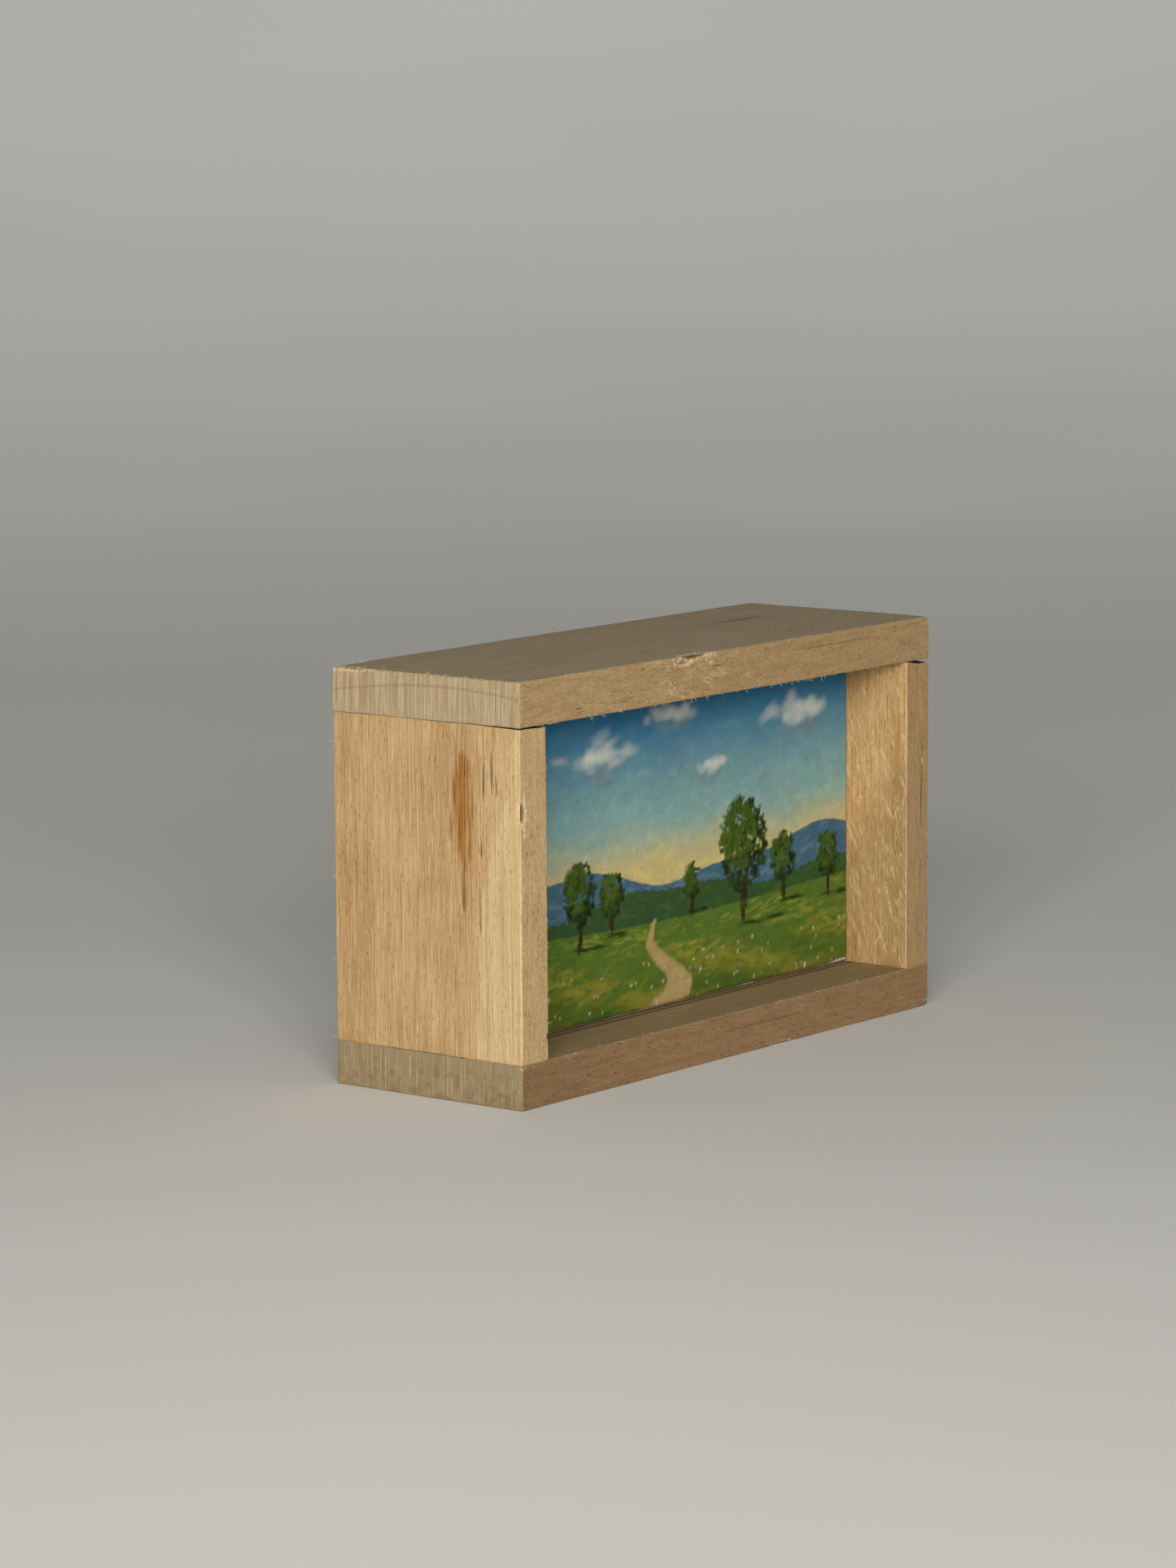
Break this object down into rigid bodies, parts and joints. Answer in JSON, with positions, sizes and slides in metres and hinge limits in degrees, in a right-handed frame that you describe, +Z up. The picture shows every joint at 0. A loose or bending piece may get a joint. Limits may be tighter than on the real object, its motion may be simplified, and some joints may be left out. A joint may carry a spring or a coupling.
{
  "type": "stretched canvas",
  "caption": "Miniature painted canvas on a mitred wooden strainer, set back inside a free-standing deep wooden box frame.",
  "frame": {"origin": "middle of the footprint, on the surface that the box frame stands on", "axes": "+Z up, +X to the right along the width as seen from the front, the painted face looks along -Y"},
  "size_m": [0.0844, 0.0286, 0.0508],
  "materials": {
    "box_wood": "bare, sawn and lightly sanded",
    "strainer_wood": "bare planed pine",
    "painted_cotton": "primed cotton, satin paint on the front",
    "staple_wire": "galvanised wire",
    "nail_steel": "bare spring steel",
    "dried_glue": "glossy, clear yellowish"
  },
  "bodies": {
    "root": {"top_board": "box_wood", "bottom_board": "box_wood", "left_board": "box_wood", "right_board": "box_wood", "strainer_bottom_bar": "strainer_wood", "strainer_right_bar": "strainer_wood", "strainer_top_bar": "strainer_wood", "strainer_left_bar": "strainer_wood", "corner_v_nails": "nail_steel", "painted_canvas": "painted_cotton", "canvas_staples": "staple_wire", "glue_beads": "dried_glue"}
  },
  "joints": []
}
